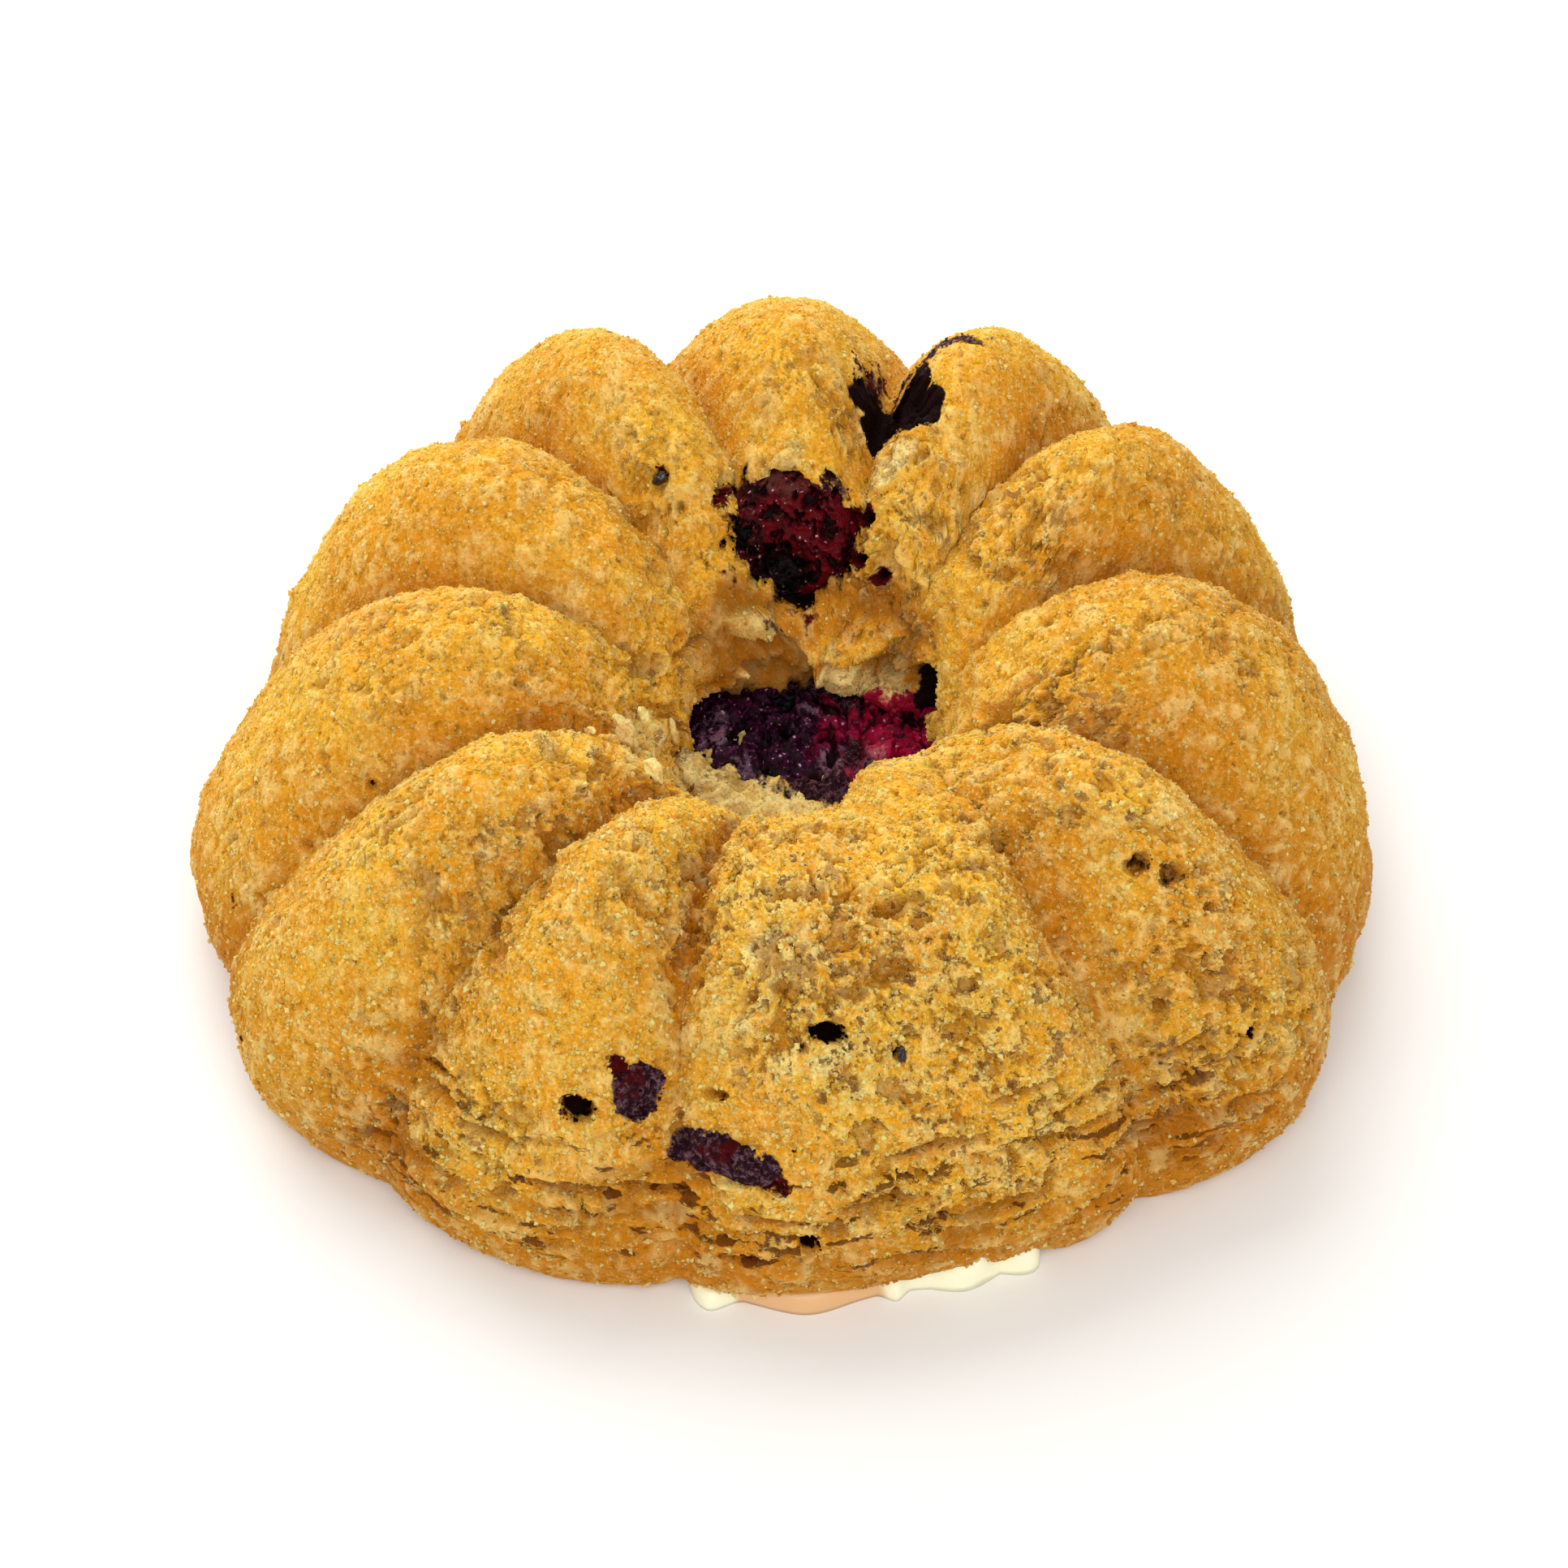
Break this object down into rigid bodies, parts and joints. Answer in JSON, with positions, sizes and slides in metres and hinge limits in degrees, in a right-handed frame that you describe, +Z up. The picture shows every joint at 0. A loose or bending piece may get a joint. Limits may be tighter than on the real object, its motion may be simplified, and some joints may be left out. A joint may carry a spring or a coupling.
{
  "type": "fluted fruit muffin",
  "caption": "Small fluted ring muffin, turned out crown up, with a blind well in the middle, dark fruit in its crust and pale icing under its base.",
  "frame": {"origin": "on the table under the middle of the muffin", "axes": "+Z up out of the well, -Y towards the torn front where the icing has run out, +X to the right seen from the front"},
  "size_m": [0.0952, 0.091, 0.036],
  "materials": {
    "cake": "golden baked crumb with open pores",
    "icing": "soft pale yellow icing",
    "dark_fruit": "black purple glossy skin",
    "red_fruit": "wet wine red flesh",
    "stained_crumb": "dull purple stained crumb on fruit",
    "violet_fruit": "wet violet flesh",
    "crimson_fruit": "wet crimson flesh"
  },
  "bodies": {
    "root": {"cake": "cake", "icing": "icing", "rear_berry": "dark_fruit", "wall_berry": "red_fruit", "side_berry_upper": "stained_crumb", "side_berry_lower": "stained_crumb", "well_berry_left": "violet_fruit", "well_berry_right": "crimson_fruit"}
  },
  "joints": []
}
